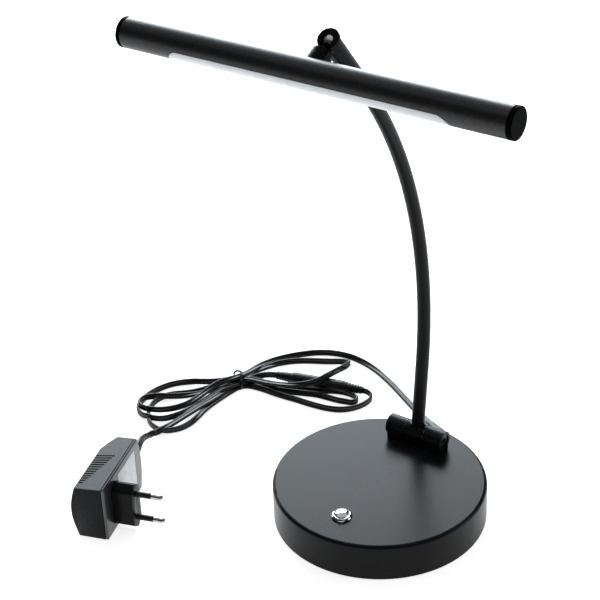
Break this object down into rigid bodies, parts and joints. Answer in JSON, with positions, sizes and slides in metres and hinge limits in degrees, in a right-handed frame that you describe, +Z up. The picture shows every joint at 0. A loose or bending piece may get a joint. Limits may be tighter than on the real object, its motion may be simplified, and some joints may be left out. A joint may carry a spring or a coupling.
{
  "type": "piano lamp",
  "caption": "Piano lamp: round weighted foot with a push switch, curved arm on a friction hinge, ball joint, round light bar with a long diffuser, tied twin lead and mains adapter.",
  "frame": {"origin": "centre of the foot's underside, on the table", "axes": "+Z up, -Y towards the switch and the light bar, +X along the light bar, to the right seen from the switch side"},
  "size_m": [0.347, 0.2757, 0.3526],
  "materials": {
    "black_paint": "satin",
    "chrome": "polished",
    "steel": "plain",
    "dark_steel": "blackened",
    "iron": "rough",
    "pad": "matt",
    "black_plastic": "satin",
    "adapter_plastic": "satin",
    "cord_plastic": "satin",
    "diffuser_plastic": "opal",
    "label": "matt",
    "board": "varnished",
    "white_board": "lacquered",
    "alu": "plain",
    "copper": "plain",
    "wire": "plain",
    "nylon": "plain",
    "phosphor": "plain",
    "capacitor": "plain"
  },
  "bodies": {
    "foot": {"base_pad": "pad", "base_plate": "steel", "base_ballast": "iron", "base_cover": "black_paint", "base_screws": "steel", "switch_bezel": "chrome", "switch_body": "black_plastic", "switch_nut": "steel", "switch_terminals": "copper", "switch_spring": "steel", "hinge_bracket": "black_paint", "bracket_screws": "steel", "cord_grommet": "cord_plastic", "cord_clamp": "black_plastic", "base_wires": "wire", "lamp_lead": "cord_plastic", "cord_hank": "cord_plastic", "hank_tie": "cord_plastic", "dc_socket": "cord_plastic", "dc_socket_relief": "cord_plastic", "dc_plug": "cord_plastic", "dc_plug_relief": "cord_plastic", "dc_contacts": "steel", "adapter_lead": "cord_plastic", "adapter_relief": "cord_plastic", "adapter_body": "adapter_plastic", "adapter_face": "adapter_plastic", "plug_block": "adapter_plastic", "plug_pins": "chrome", "pin_sleeves": "black_plastic", "adapter_label": "label", "adapter_board": "board", "adapter_transformer": "copper", "adapter_capacitors": "capacitor"},
    "button": {"switch_button": "chrome"},
    "arm": {"arm_knuckle": "black_paint", "hinge_screws": "dark_steel", "hinge_washers": "steel", "arm_tube": "black_paint", "arm_wires": "wire", "arm_socket": "black_paint", "ball_seat": "nylon"},
    "neck": {"ball_stud": "chrome", "neck_sleeve": "black_plastic", "stem_nut": "steel"},
    "head": {"stem_collar": "black_paint", "saddle_washer": "steel", "head_tube": "black_paint", "left_end_cap": "black_plastic", "right_end_cap": "black_plastic", "diffuser": "diffuser_plastic", "led_board": "white_board", "leds": "phosphor", "board_carrier": "alu", "head_wires": "wire"}
  },
  "joints": [
    {"name": "button_press", "type": "slide", "parent": "foot", "child": "button", "axis": [0, 0, -1], "range_m": [0, 0.0015], "stiffness_N_per_m": 1500, "deforming": ["switch_spring"]},
    {"name": "arm_tilt", "type": "hinge", "parent": "foot", "child": "arm", "pos_m": [0, 0.0485, 0.034], "axis": [1, 0, 0], "range_deg": [-75, 45]},
    {"name": "head_tilt", "type": "hinge", "parent": "arm", "child": "neck", "pos_m": [0, -0.04343, 0.34538], "axis": [1, 0, 0], "range_deg": [-68, 12]},
    {"name": "head_swivel", "type": "hinge", "parent": "neck", "child": "head", "pos_m": [0, -0.04343, 0.34538], "axis": [0, -0.9078, -0.4195], "range_deg": [-90, 90]}
  ]
}
